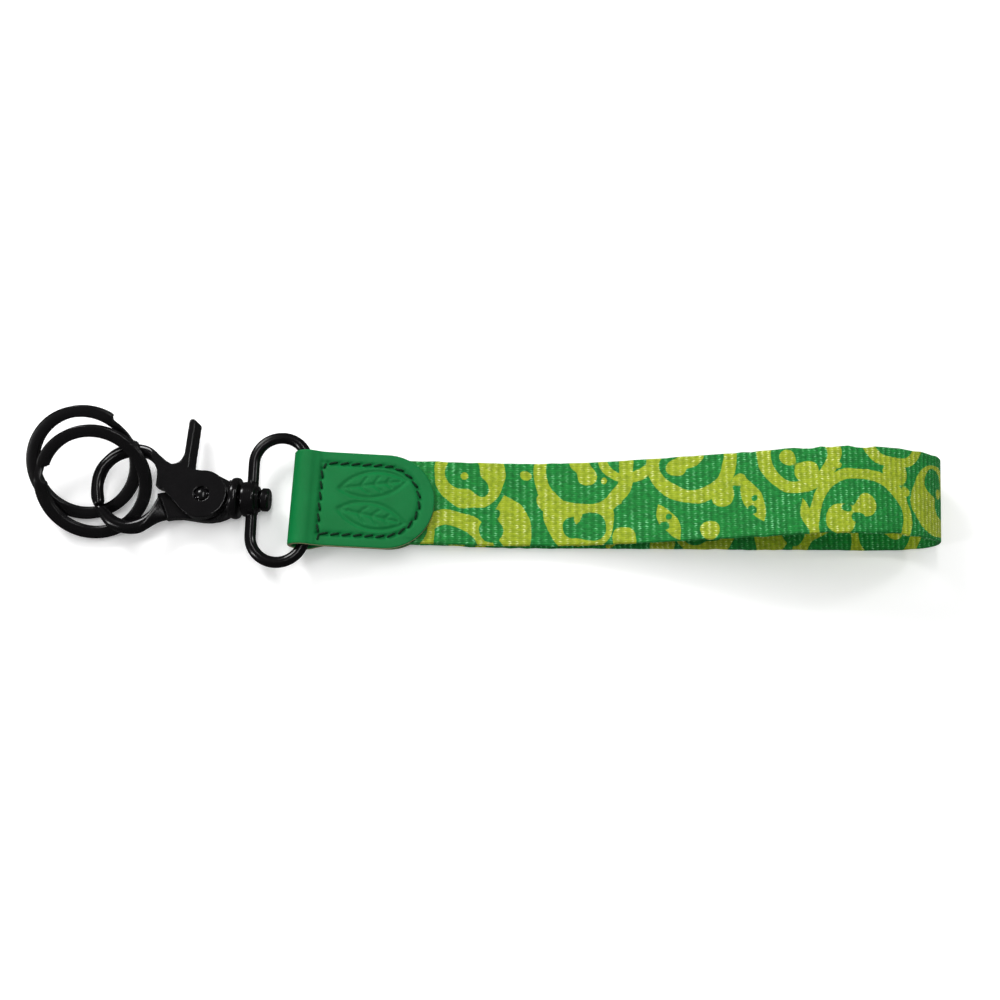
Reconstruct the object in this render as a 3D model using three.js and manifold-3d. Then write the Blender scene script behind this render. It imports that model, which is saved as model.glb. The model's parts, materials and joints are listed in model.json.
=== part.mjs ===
// Wrist lanyard lying on a table: a webbing hand loop sewn into a leather tab, an oval swivel
// ring, a scissor trigger hook and two split key rings. Millimetres, +Z up, +X towards the loop.
import * as THREE from 'three';
import { mergeVertices } from 'three/addons/utils/BufferGeometryUtils.js';
import Module from 'manifold-3d';

const wasm = await Module();
wasm.setup();

// ---- Driving dimensions -------------------------------------------------------------------
const GAP = 0.3; // working gap between neighbouring pieces

const WEB_WIDTH = 25;
const WEB_THICK = 1.3;
const WEB_END_INSIDE_TAB = 28; // how far both webbing ends reach into the tab

const WEB_TURN = -0.4; // degrees about Z
const CREST = 22.2; // mid-line height of the loop's highest point

const LEATHER_THICK = 1.3;
const TAB_WIDTH = 28.2;
const TAB_LENGTH = 41.6; // from the fold's outer edge to the tip
const TAB_TURN = -1.5; // degrees about Z
const TAB_TIP_HEIGHT = 4.3; // centre of the sewn stack at its tip, above the table
const FOLD_INNER_RADIUS = 2.95;

const THREAD_RADIUS = 0.35;
const STITCH_INSET = 3.4; // from the tab's sides
const STITCH_TIP_INSET = 4.3;
const STITCH_LEFT_INSET = 8.3; // from the fold's outer edge

const AXIS_HEIGHT = 6.2; // the oval ring lies level and the swivel axis runs at this height
const OVAL_CENTRE = new THREE.Vector2(-64.3, -1.54);
const OVAL_WIRE_RADIUS = 1.65;
const OVAL_BEND_RADIUS = 7.85;
const OVAL_STRAIGHT = 21.8;
const BOSS_RADIUS = 5.1;
const BOSS_START = -10.75; // along X from the oval ring's centre
const BOSS_END = -5.55;

const PIVOT = new THREE.Vector2(-86.4, -0.75); // rivet centre
const HOOK_TURN = -3; // degrees about Z
const HOOK_ROLL = -4; // degrees about the swivel axis
const PLATE_HALF = 3; // half of the hook's thickness at the pivot
const DISC_RADIUS = 7.2;
const JAW_RADIUS = 1.85;
const COLLAR_RADIUS = 6.1;
const COLLAR_START = 8.5; // along the hook axis, from the rivet
const COLLAR_END = 10.8;
const HEAD_RADIUS = 3.4;
const HEAD_START = 17.1;
const HEAD_END = 19.5;
const PIN_RADIUS = 2.1;
const PIN_PLAY = 0.5;
const RIVET_RADIUS = 1.3;
const RIVET_HEAD_RADIUS = 1.9;
const HEAD_SEAT_DEPTH = 0.5;
const THUMB_BACK = 1.4; // how far the thumb lever reaches behind the hook's mid-plane
const SPRING_COIL_RADIUS = 2.5;
const SPRING_WIRE_RADIUS = 0.32;
const SPRING_TURNS = 2.5;
const SPRING_POCKET_LOW = -2;
const SPRING_POCKET_HIGH = 1.6;

const RING_OUTER_RADIUS = 16.7;
const RING_WIRE_WIDTH = 3.4;
const RING_COIL_THICK = 1.2;
const RING_COIL_RISE = 0.7; // each coil's mid-plane above or below the ring's mid-plane
const RING_BRIDGE_ANGLE = 24; // degrees that the step between the coils takes

// ---- Small tools --------------------------------------------------------------------------
const radians = THREE.MathUtils.degToRad;
const v2 = (x, y) => new THREE.Vector2(x, y);

function solidOf(geometry) {
  geometry.deleteAttribute('normal');
  geometry.deleteAttribute('uv');
  const merged = mergeVertices(geometry, 1e-3);
  return new wasm.Manifold(new wasm.Mesh({
    numProp: 3,
    vertProperties: merged.attributes.position.array,
    triVerts: Uint32Array.from(merged.index.array),
  }));
}

function geometryOf(solid) {
  const { vertProperties, triVerts } = solid.getMesh();
  const geometry = new THREE.BufferGeometry();
  geometry.setAttribute('position', new THREE.BufferAttribute(vertProperties, 3));
  geometry.setIndex(new THREE.BufferAttribute(triVerts, 1));
  return geometry;
}

// Turns a profile of (radius, height) pairs about Z.
function turned(profile, segments = 32) {
  const points = profile.map(([radius, height]) => v2(radius, height));
  return new THREE.LatheGeometry(points, segments).rotateX(Math.PI / 2);
}

// Turns a profile of (radius, distance along X) pairs about X.
function turnedAlongX(profile, segments = 32) {
  const points = profile.map(([radius, along]) => v2(radius, along));
  return new THREE.LatheGeometry(points, segments).rotateZ(-Math.PI / 2);
}

function disc(radius, low, high) {
  return solidOf(turned([[0, low], [radius, low], [radius, high], [0, high]], 40));
}

// A flat outline between two heights, with its edges rounded by the given amount.
function plate(shape, low, high, rounding = 0, curveSegments = 4) {
  const geometry = new THREE.ExtrudeGeometry(shape, {
    depth: high - low - 2 * rounding,
    bevelEnabled: rounding > 0,
    bevelThickness: rounding,
    bevelSize: rounding,
    bevelOffset: -rounding,
    bevelSegments: 3,
    curveSegments,
  });
  return solidOf(geometry.translate(0, 0, low + rounding));
}

// A curve in 3D from a function of t between 0 and 1.
class Route extends THREE.Curve {
  constructor(pointAt) {
    super();
    this.pointAt = pointAt;
  }

  getPoint(t, target = new THREE.Vector3()) {
    return target.copy(this.pointAt(t));
  }
}

function polygon(sides, radius) {
  const corners = [];
  for (let i = 0; i < sides; i += 1) {
    const angle = (2 * Math.PI * (i + 0.5)) / sides;
    corners.push(v2(radius * Math.cos(angle), radius * Math.sin(angle)));
  }
  return new THREE.Shape(corners);
}

function wire(route, radius, steps, sides = 8) {
  return new THREE.ExtrudeGeometry(polygon(sides, radius), { steps, extrudePath: route });
}

function makeMesh(name, geometry, colour, roughness, metalness) {
  const material = new THREE.MeshStandardMaterial({ color: colour, roughness, metalness });
  const mesh = new THREE.Mesh(geometry, material);
  mesh.name = name;
  return mesh;
}

const BLACK_PAINT = ['#0c0c0e', 0.35, 0.5];
const BARE_STEEL = ['#6b6e72', 0.4, 0.9];
const LEATHER_GREEN = ['#117a3a', 0.5, 0];
const WEB_GREEN = ['#2f9a46', 0.7, 0];
const THREAD_GREEN = ['#0d4a24', 0.6, 0];

// ---- Tab frame: origin on the fold axis, +X to the tip, in the sewn stack's mid-plane ------
const FOLD_OUTER_RADIUS = FOLD_INNER_RADIUS + LEATHER_THICK;
const TAB_REACH = TAB_LENGTH - FOLD_OUTER_RADIUS; // fold axis to tip
const TAB_SLOPE = Math.atan2(AXIS_HEIGHT - TAB_TIP_HEIGHT, TAB_REACH);
const STACK_HALF = 1.5 * GAP + WEB_THICK; // to the leather's inner face
const LEATHER_OUTER = STACK_HALF + LEATHER_THICK;
const FOLD_AXIS = v2(OVAL_CENTRE.x + OVAL_BEND_RADIUS, OVAL_CENTRE.y);

// ---- Webbing hand loop --------------------------------------------------------------------
// Side profile of the webbing's mid-line as (x, z), from the end in the tab's upper half,
// over the crest, round the end bend and back along the table into the tab's lower half.
function webbingMidline() {
  const layer = (GAP + WEB_THICK) / 2;
  const stackHeight = (x) => AXIS_HEIGHT - (x - FOLD_AXIS.x) * Math.tan(TAB_SLOPE);
  const tip = FOLD_AXIS.x + TAB_REACH;
  const end = tip - WEB_END_INSIDE_TAB;
  const flat = WEB_THICK / 2;
  const bulge = new THREE.SplineCurve([
    v2(tip, stackHeight(tip) + layer), v2(-6, 4), v2(8, 3.5), v2(22, 4.5), v2(36, 7), v2(50, 10.6),
    v2(64, 14.2), v2(78, 18.2), v2(89, 21.1), v2(98.5, CREST), v2(109, 21.2), v2(118.5, 18),
    v2(125.2, 13.2), v2(127.6, 8.8), v2(125.3, 4.2), v2(119, 1.5), v2(109, flat),
  ]);
  const lift = new THREE.SplineCurve([
    v2(4, flat), v2(-6, 1.3), v2(-13, 2.6), v2(tip, stackHeight(tip) - layer),
  ]);
  return [
    v2(end, stackHeight(end) + layer),
    ...bulge.getSpacedPoints(60),
    ...lift.getSpacedPoints(8),
    v2(end, stackHeight(end) - layer),
  ];
}

// The band of the given thickness along a mid-line.
function band(points, thickness) {
  const side = (offset) => points.map((point, i) => {
    const before = points[Math.max(i - 1, 0)];
    const after = points[Math.min(i + 1, points.length - 1)];
    const along = after.clone().sub(before).normalize();
    return v2(point.x - along.y * offset, point.y + along.x * offset);
  });
  return new THREE.Shape([...side(thickness / 2), ...side(-thickness / 2).reverse()]);
}

// A side profile given as (x, z), made as wide as asked about the local XZ plane.
function acrossY(shape, width) {
  const geometry = new THREE.ExtrudeGeometry(shape, { depth: width, bevelEnabled: false });
  return geometry.translate(0, 0, -width / 2).rotateX(Math.PI / 2);
}

function webbingStrap() {
  const tabMiddle = v2(TAB_REACH / 2, 0).rotateAround(v2(0, 0), radians(TAB_TURN)).add(FOLD_AXIS);
  const geometry = acrossY(band(webbingMidline(), WEB_THICK), WEB_WIDTH)
    .translate(-tabMiddle.x, 0, 0)
    .rotateZ(radians(WEB_TURN))
    .translate(tabMiddle.x, tabMiddle.y, 0);
  return makeMesh('webbing_strap', geometry, ...WEB_GREEN);
}

// ---- Leather tab and its stitching, in the tab frame --------------------------------------
function tabOutline() {
  const half = TAB_WIDTH / 2;
  const outline = new THREE.Shape();
  outline.moveTo(-FOLD_OUTER_RADIUS - 1, -half);
  outline.lineTo(TAB_REACH - half, -half);
  outline.absarc(TAB_REACH - half, 0, half, -Math.PI / 2, Math.PI / 2);
  outline.lineTo(-FOLD_OUTER_RADIUS - 1, half);
  return outline;
}

// One strip folded round the bar: the roll, the necks that close in on it, and two flat leaves.
function leatherTab() {
  const leaf = STACK_HALF + LEATHER_THICK / 2;
  const roll = FOLD_INNER_RADIUS + LEATHER_THICK / 2;
  const points = [v2(TAB_REACH + 1, leaf), v2(5, leaf), v2(3.9, leaf), v2(2.9, leaf + 0.5)];
  for (let degrees = 66; degrees <= 294; degrees += 12) {
    points.push(v2(roll * Math.cos(radians(degrees)), roll * Math.sin(radians(degrees))));
  }
  points.push(v2(2.9, -leaf - 0.5), v2(3.9, -leaf), v2(5, -leaf), v2(TAB_REACH + 1, -leaf));
  const strip = solidOf(acrossY(band(points, LEATHER_THICK), TAB_WIDTH));
  const cutter = plate(tabOutline(), -20, 20, 0, 16);
  return makeMesh('leather_tab', geometryOf(strip.intersect(cutter)), ...LEATHER_GREEN);
}

// The closed-up D that the seam follows, from its start on the left line and back to it.
function seam(name, height) {
  const left = STITCH_LEFT_INSET - FOLD_OUTER_RADIUS;
  const half = TAB_WIDTH / 2 - STITCH_INSET;
  const bend = TAB_REACH - STITCH_TIP_INSET - half;
  const path = new THREE.Path();
  path.moveTo(left, -half + 1);
  path.lineTo(left, half);
  path.lineTo(bend, half);
  path.absarc(bend, 0, half, Math.PI / 2, -Math.PI / 2, true);
  path.lineTo(left + 1, -half);
  const route = new Route((t) => {
    const point = path.getPointAt(t);
    return new THREE.Vector3(point.x, point.y, height);
  });
  return makeMesh(name, wire(route, THREAD_RADIUS, 64, 6), ...THREAD_GREEN);
}

function tab() {
  const group = new THREE.Group();
  group.position.set(FOLD_AXIS.x, FOLD_AXIS.y, AXIS_HEIGHT);
  group.rotation.set(0, TAB_SLOPE, radians(TAB_TURN), 'ZYX');
  const seamHeight = LEATHER_OUTER + GAP + THREAD_RADIUS;
  group.add(leatherTab(), seam('needle_thread', seamHeight), seam('bobbin_thread', -seamHeight));
  return group;
}

// ---- Oval ring with its swivel boss, about the ring's own centre --------------------------
function ovalRing() {
  const half = OVAL_STRAIGHT / 2;
  const bend = OVAL_BEND_RADIUS;
  const halfLoop = (side) => {
    const path = new THREE.Path();
    path.moveTo(-bend, 0);
    path.lineTo(-bend, side * half);
    path.absarc(0, side * half, bend, Math.PI, 0, side > 0);
    path.lineTo(bend, 0);
    const route = new Route((t) => {
      const point = path.getPointAt(t);
      return new THREE.Vector3(point.x, point.y, 0);
    });
    return solidOf(wire(route, OVAL_WIRE_RADIUS, 36, 12));
  };
  const boss = solidOf(turnedAlongX([
    [0, BOSS_START], [BOSS_RADIUS - 0.4, BOSS_START], [BOSS_RADIUS, BOSS_START + 0.4],
    [BOSS_RADIUS, BOSS_END - 0.9], [BOSS_RADIUS - 1.2, BOSS_END], [0, BOSS_END],
  ]));
  const boreRadius = PIN_RADIUS + PIN_PLAY;
  const bore = solidOf(turnedAlongX([
    [0, BOSS_START - 1], [boreRadius, BOSS_START - 1], [boreRadius, BOSS_END + 1], [0, BOSS_END + 1],
  ]));
  const ring = halfLoop(1).add(halfLoop(-1)).add(boss).subtract(bore);
  const mesh = makeMesh('oval_ring', geometryOf(ring), ...BLACK_PAINT);
  mesh.position.set(OVAL_CENTRE.x, OVAL_CENTRE.y, AXIS_HEIGHT);
  return mesh;
}

// ---- Trigger hook, in the hook frame: origin on the rivet, jaws towards -X ------------------
function swivelPin() {
  const edge = 0.7;
  const geometry = turnedAlongX([
    [0, COLLAR_START + GAP], [PIN_RADIUS, COLLAR_START + GAP], [PIN_RADIUS, HEAD_START],
    [HEAD_RADIUS, HEAD_START], [HEAD_RADIUS, HEAD_END - edge], [HEAD_RADIUS - edge, HEAD_END],
    [0, HEAD_END],
  ]);
  return makeMesh('swivel_pin', geometry, ...BLACK_PAINT);
}

// A round jaw along a mid-line from its tip to its root by the pivot.
function jaw(points) {
  const curve = new THREE.CatmullRomCurve3(points.map(([x, y]) => new THREE.Vector3(x, y, 0)));
  return solidOf(wire(curve, JAW_RADIUS, 26, 12));
}

function lowerJaw() {
  const root = new THREE.Shape([
    v2(-17.4, -11.6), v2(-14.6, -10.3), v2(-12.2, -8.3), v2(-8, -6.4), v2(-11.2, -0.3),
    v2(-12.6, -0.5), v2(-13.6, -2.6), v2(-14.7, -4.8), v2(-16.4, -6.8),
  ]);
  return jaw([
    [-29.6, -5.1], [-28, -6.9], [-24.8, -9.6], [-21.3, -10.4], [-18.4, -9.9], [-14.6, -7.4],
    [-12.4, -4.6],
  ]).add(plate(root, -JAW_RADIUS, JAW_RADIUS, 0.5));
}

function upperJaw() {
  const root = new THREE.Shape([
    v2(-17.4, 13.8), v2(-17.2, 10.6), v2(-15.5, 9), v2(-13.6, 5.2), v2(-13, 2.7), v2(-10.8, 2.1),
    v2(-9.9, 8.6), v2(-13.4, 11),
  ]);
  return jaw([
    [-30.2, -4.1], [-31.2, -0.8], [-31.4, 3], [-30.2, 7.9], [-27, 11.8], [-22.6, 13.2],
    [-18.6, 12.6], [-14.8, 10], [-12.2, 6.6],
  ]).add(plate(root, -JAW_RADIUS, JAW_RADIUS, 0.5));
}

function backPlate() {
  const shape = new THREE.Shape([
    v2(-11.2, -0.8), v2(-6.2, 3.2), v2(3.6, 6.9), v2(COLLAR_START + 0.4, 5.4),
    v2(COLLAR_START + 0.4, -5.5), v2(2.8, -7.3), v2(-5.6, -6.5), v2(-10, -7.3), v2(-12.2, -8.2),
  ]);
  return plate(shape, -PLATE_HALF, -GAP / 2, 0.5).add(disc(DISC_RADIUS, -PLATE_HALF, -GAP / 2));
}

function springPocket() {
  return disc(SPRING_COIL_RADIUS + SPRING_WIRE_RADIUS + GAP, SPRING_POCKET_LOW, SPRING_POCKET_HIGH);
}

function rivetHole() {
  const seat = PLATE_HALF - HEAD_SEAT_DEPTH;
  const headHole = RIVET_HEAD_RADIUS + GAP;
  return disc(RIVET_RADIUS + GAP, -PLATE_HALF - 1, PLATE_HALF + 1)
    .add(disc(headHole, -PLATE_HALF - 1, -seat))
    .add(disc(headHole, seat, PLATE_HALF + 1));
}

function hookBody() {
  const neckShape = new THREE.Shape([
    v2(2.8, -7.3), v2(COLLAR_START + 0.4, -5.5), v2(COLLAR_START + 0.4, 5.4), v2(3.6, 6.9),
  ]);
  const middle = (COLLAR_START + COLLAR_END) / 2;
  const collar = solidOf(turnedAlongX([
    [0, COLLAR_START], [COLLAR_RADIUS - 0.8, COLLAR_START], [COLLAR_RADIUS, middle - 0.4],
    [COLLAR_RADIUS, middle + 0.4], [COLLAR_RADIUS - 0.8, COLLAR_END], [0, COLLAR_END],
  ]));
  const pinHole = solidOf(turnedAlongX([
    [0, COLLAR_START], [PIN_RADIUS + GAP, COLLAR_START], [PIN_RADIUS + GAP, COLLAR_END + 1],
    [0, COLLAR_END + 1],
  ]));
  const solid = backPlate()
    .add(plate(neckShape, -PLATE_HALF, PLATE_HALF, 0.5))
    .add(collar)
    .add(lowerJaw())
    .subtract(disc(DISC_RADIUS + GAP, -GAP / 2, PLATE_HALF + 1))
    .subtract(pinHole)
    .subtract(springPocket())
    .subtract(rivetHole());
  return makeMesh('hook_body', geometryOf(solid), ...BLACK_PAINT);
}

function triggerLever() {
  const face = new THREE.Shape();
  face.moveTo(-10.4, 1.9);
  face.lineTo(-4.4, -5.4);
  face.lineTo(3, 6.3);
  face.lineTo(-4.2, 7.6);
  face.lineTo(-6.6, 11.6);
  face.quadraticCurveTo(-7.6, 9, -9.8, 8.6);
  face.lineTo(-13.4, 11);
  face.lineTo(-15.9, 9.4);
  face.quadraticCurveTo(-13.6, 6.4, -13.1, 3);
  const thumb = new THREE.Shape();
  thumb.moveTo(-6.6, 7.2);
  thumb.lineTo(-4.2, 7.2);
  thumb.lineTo(-4.2, 22.2);
  thumb.absarc(-5.4, 22.2, 1.2, 0, Math.PI);
  const solid = plate(face, GAP / 2, PLATE_HALF, 0.5)
    .add(disc(DISC_RADIUS, GAP / 2, PLATE_HALF))
    .add(upperJaw())
    .add(plate(thumb, -THUMB_BACK, PLATE_HALF, 0.4))
    .subtract(springPocket())
    .subtract(rivetHole());
  return makeMesh('trigger_lever', geometryOf(solid), ...BLACK_PAINT);
}

function pivotRivet() {
  const seat = PLATE_HALF - HEAD_SEAT_DEPTH + GAP;
  const top = PLATE_HALF + 0.3;
  const geometry = turned([
    [0, -PLATE_HALF], [RIVET_HEAD_RADIUS, -PLATE_HALF], [RIVET_HEAD_RADIUS, -seat],
    [RIVET_RADIUS, -seat], [RIVET_RADIUS, seat], [RIVET_HEAD_RADIUS, seat],
    [RIVET_HEAD_RADIUS - 0.3, top - 0.2], [0.9, top], [0, top],
  ], 24);
  return makeMesh('pivot_rivet', geometry, ...BLACK_PAINT);
}

function torsionSpring() {
  const low = SPRING_POCKET_LOW + GAP + SPRING_WIRE_RADIUS;
  const high = SPRING_POCKET_HIGH - GAP - SPRING_WIRE_RADIUS;
  const coil = new Route((t) => {
    const angle = 2 * Math.PI * SPRING_TURNS * t;
    return new THREE.Vector3(
      SPRING_COIL_RADIUS * Math.cos(angle),
      SPRING_COIL_RADIUS * Math.sin(angle),
      low + (high - low) * t,
    );
  });
  return makeMesh('torsion_spring', wire(coil, SPRING_WIRE_RADIUS, 44, 6), ...BARE_STEEL);
}

// ---- Split key rings ----------------------------------------------------------------------
// A flat wire wound nearly twice round, in its own frame: the lower coil, a step, the upper coil.
function splitRing(bridgeDegrees) {
  const turn = 2 * Math.PI;
  const bridge = radians(RING_BRIDGE_ANGLE);
  const start = radians(bridgeDegrees) + bridge / 2;
  const total = 2 * turn - bridge;
  const radius = RING_OUTER_RADIUS - RING_WIRE_WIDTH / 2;
  const route = new Route((t) => {
    const angle = start + total * t;
    const step = THREE.MathUtils.clamp((total * t - turn + bridge) / bridge, 0, 1);
    const height = RING_COIL_RISE * (2 * step * step * (3 - 2 * step) - 1);
    return new THREE.Vector3(radius * Math.cos(angle), radius * Math.sin(angle), height);
  });
  const x = RING_COIL_THICK / 2;
  const y = RING_WIRE_WIDTH / 2;
  const cut = 0.25;
  const section = new THREE.Shape([
    v2(-x, -y + cut), v2(-x + cut, -y), v2(x - cut, -y), v2(x, -y + cut),
    v2(x, y - cut), v2(x - cut, y), v2(-x + cut, y), v2(-x, y - cut),
  ]);
  return new THREE.ExtrudeGeometry(section, { steps: 100, extrudePath: route });
}

// Places a ring by its centre and by how much its plane rises per millimetre of X and of Y.
function placedRing(name, bridgeDegrees, centre, riseX, riseY) {
  const ring = makeMesh(name, splitRing(bridgeDegrees), ...BLACK_PAINT);
  const normal = new THREE.Vector3(-riseX, -riseY, 1).normalize();
  ring.quaternion.setFromUnitVectors(new THREE.Vector3(0, 0, 1), normal);
  ring.position.set(...centre);
  return ring;
}

// ---- Assembly -----------------------------------------------------------------------------
function hook() {
  const group = new THREE.Group();
  group.position.set(PIVOT.x, PIVOT.y, AXIS_HEIGHT);
  group.rotation.set(radians(HOOK_ROLL), 0, radians(HOOK_TURN), 'ZYX');
  group.add(swivelPin(), hookBody(), triggerLever(), pivotRivet(), torsionSpring());
  return group;
}

const assembly = new THREE.Group();
assembly.add(
  webbingStrap(),
  tab(),
  ovalRing(),
  hook(),
  placedRing('split_ring_lower', 45, [-121.3, 9.2, 8.14], -0.01, 0.465),
  placedRing('split_ring_upper', 168, [-118, 3, 8.92], -0.05, 0.53),
);

// The origin is on the table under the middle of the whole lanyard.
const box = new THREE.Box3().setFromObject(assembly, true);
const middle = box.getCenter(new THREE.Vector3());
assembly.position.set(-middle.x, -middle.y, -box.min.z);

export default assembly;
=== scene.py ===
import json
import math

import bmesh
import bpy
import numpy as np
from mathutils import Matrix, Vector
from mathutils.geometry import tessellate_polygon


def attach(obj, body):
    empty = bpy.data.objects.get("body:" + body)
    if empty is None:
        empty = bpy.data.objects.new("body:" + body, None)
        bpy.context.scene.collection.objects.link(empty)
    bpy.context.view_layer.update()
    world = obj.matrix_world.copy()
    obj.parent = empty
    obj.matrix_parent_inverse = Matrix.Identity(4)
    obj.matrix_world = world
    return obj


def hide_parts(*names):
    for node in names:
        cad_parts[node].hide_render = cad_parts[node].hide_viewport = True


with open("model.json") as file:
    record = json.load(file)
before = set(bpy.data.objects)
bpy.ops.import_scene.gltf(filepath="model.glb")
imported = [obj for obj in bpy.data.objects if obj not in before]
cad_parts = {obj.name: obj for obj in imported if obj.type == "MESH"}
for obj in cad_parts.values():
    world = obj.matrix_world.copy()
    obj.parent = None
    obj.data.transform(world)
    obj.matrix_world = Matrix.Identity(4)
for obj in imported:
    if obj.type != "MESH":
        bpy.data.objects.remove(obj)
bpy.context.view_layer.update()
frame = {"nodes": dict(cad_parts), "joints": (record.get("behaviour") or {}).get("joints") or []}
JOINTS = {joint["name"]: joint for joint in frame["joints"]}

MM = 0.001

# The layout frame has the loop towards +X, millimetres, and the oval ring's bar at BAR.
BAR = Vector((-56.45, -1.54, 6.2))
SHIFT = Vector(JOINTS["eye_swing"]["pos_m"]) / MM - BAR

GAP = 0.3
# From the tab's middle plane to the inner face of a leaf.
STACK_HALF = 1.75
LEATHER_THICK = 1.3
FOLD_INNER = 3.05
TAB_WIDTH = 28.2
TAB_REACH = 37.35
TAB_SLOPE = math.atan2(1.9, TAB_REACH)
WEB_WIDTH = 25.0
WEB_THICK = 1.2
CAD_WEB_THICK = 1.3
WEB_TUCK = 28
WEB_STEP = 0.25
WEB_EDGE = 0.35
RIVET_HOLE = 2.2
SPRING_POCKET = 3.12
RING_OUTER = 16.7
RING_WIDTH = 3.4
RING_THICK = 1.2
RING_RISE = 0.7
CAST_VOXEL = 0.15


# ---- Geometry tools -----------------------------------------------------------------------
def catmull(points, per_span=12):
    """A smooth curve through the points, as an array."""
    p = np.array(points, float)
    p = np.vstack([2 * p[0] - p[1], p, 2 * p[-1] - p[-2]])
    out = []
    for i in range(1, len(p) - 2):
        for t in np.linspace(0, 1, per_span, endpoint=False):
            a, b, c, d = p[i - 1], p[i], p[i + 1], p[i + 2]
            out.append(0.5 * (2 * b + (c - a) * t + (2 * a - 5 * b + 4 * c - d) * t**2
                              + (3 * b - a - 3 * c + d) * t**3))
    out.append(p[-2])
    return np.array(out)


def spaced(points, step=None, count=None):
    """The same line with even spacing, and the distance along it."""
    p = np.array(points, float)
    along = np.concatenate([[0], np.cumsum(np.linalg.norm(np.diff(p, axis=0), axis=1))])
    count = count or int(round(along[-1] / step)) + 1
    s = np.linspace(0, along[-1], count)
    return np.stack([np.interp(s, along, p[:, k]) for k in range(p.shape[1])], 1), s


def side_of(path):
    """The unit normal of a planar path at each point."""
    along = np.gradient(path, axis=0)
    along /= np.linalg.norm(along, axis=1)[:, None]
    return np.stack([-along[:, 1], along[:, 0]], 1)


def loft(rings, wrap=False, caps=True):
    """(vertices, faces) of a skin through closed rings of equal size."""
    rings = np.array(rings, float)
    n, m = rings.shape[:2]
    faces = []
    for i in range(n if wrap else n - 1):
        j = (i + 1) % n
        for k in range(m):
            q = (k + 1) % m
            faces.append((i * m + k, i * m + q, j * m + q, j * m + k))
    if caps and not wrap:
        faces.append(tuple(range(m - 1, -1, -1)))
        faces.append(tuple(range((n - 1) * m, n * m)))
    return rings.reshape(-1, 3), faces


def circle(count, radius=1.0):
    angle = np.arange(count) * 2 * math.pi / count
    return np.stack([radius * np.cos(angle), radius * np.sin(angle)], 1)


def lathe(profile, axis="z", segments=64):
    """Turns (radius, distance) pairs about the axis. The profile is a closed loop clear of the axis."""
    unit = circle(segments)
    if axis == "x":
        rings = [[(d, r * a, r * b) for r, d in profile] for a, b in unit]
    else:
        rings = [[(r * a, r * b, d) for r, d in profile] for a, b in unit]
    return loft(rings, wrap=True)


def prism(outline, low, high, hole=0.0):
    """A flat plate between two heights, with a round hole at the origin if asked."""
    loops = [[Vector((x, y, 0)) for x, y in outline]]
    if hole:
        loops.append([Vector((x, y, 0)) for x, y in circle(40, hole)])
    flat = [v for loop in loops for v in loop]
    n = len(flat)
    verts = [(v.x, v.y, low) for v in flat] + [(v.x, v.y, high) for v in flat]
    faces = []
    for a, b, c in tessellate_polygon(loops):
        faces += [(a, b, c), (a + n, c + n, b + n)]
    start = 0
    for loop in loops:
        size = len(loop)
        for i in range(size):
            j = (i + 1) % size
            faces.append((start + i, start + j, start + j + n, start + i + n))
        start += size
    return np.array(verts), faces


def join(parts):
    verts, faces, base = [], [], 0
    for v, f in parts:
        verts.append(np.asarray(v, float))
        faces += [tuple(i + base for i in face) for face in f]
        base += len(v)
    return np.vstack(verts), faces


def moved(points, matrix):
    m = np.array(matrix)
    return np.asarray(points, float) @ m[:3, :3].T + m[:3, 3]


def make(name, verts, faces, body, replaced, material, place=Matrix()):
    """A mesh object from layout millimetres, riding on a body in place of a CAD node."""
    mesh = bpy.data.meshes.new(name)
    world = moved(moved(verts, place), Matrix.Translation(SHIFT)) * MM
    mesh.from_pydata(world.tolist(), [], faces)
    mesh.update()
    obj = bpy.data.objects.new(name, mesh)
    bpy.context.scene.collection.objects.link(obj)
    mesh.materials.append(material)
    mesh.shade_smooth()
    fix_normals(mesh)
    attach(obj, body)
    if replaced:
        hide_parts(replaced)
    return obj


def fix_normals(mesh):
    work = bmesh.new()
    work.from_mesh(mesh)
    bmesh.ops.recalc_face_normals(work, faces=work.faces)
    work.to_mesh(mesh)
    work.free()


def baked(obj):
    """Applies the object's modifiers to its mesh."""
    graph = bpy.context.evaluated_depsgraph_get()
    mesh = bpy.data.meshes.new_from_object(obj.evaluated_get(graph))
    obj.modifiers.clear()
    obj.data = mesh
    mesh.shade_smooth()


def cast(name, parts, body, node, place, smoothing=6):
    """One die-cast piece: the parts melted together, with small soft fillets and edges."""
    verts, faces = join(parts)
    obj = make(name, verts, faces, body, node, CAST_BLACK, place)
    remesh = obj.modifiers.new("melt", "REMESH")
    remesh.mode = "VOXEL"
    remesh.voxel_size = CAST_VOXEL * MM
    soften = obj.modifiers.new("soften", "SMOOTH")
    soften.iterations = smoothing
    soften.factor = 0.5
    baked(obj)


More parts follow.
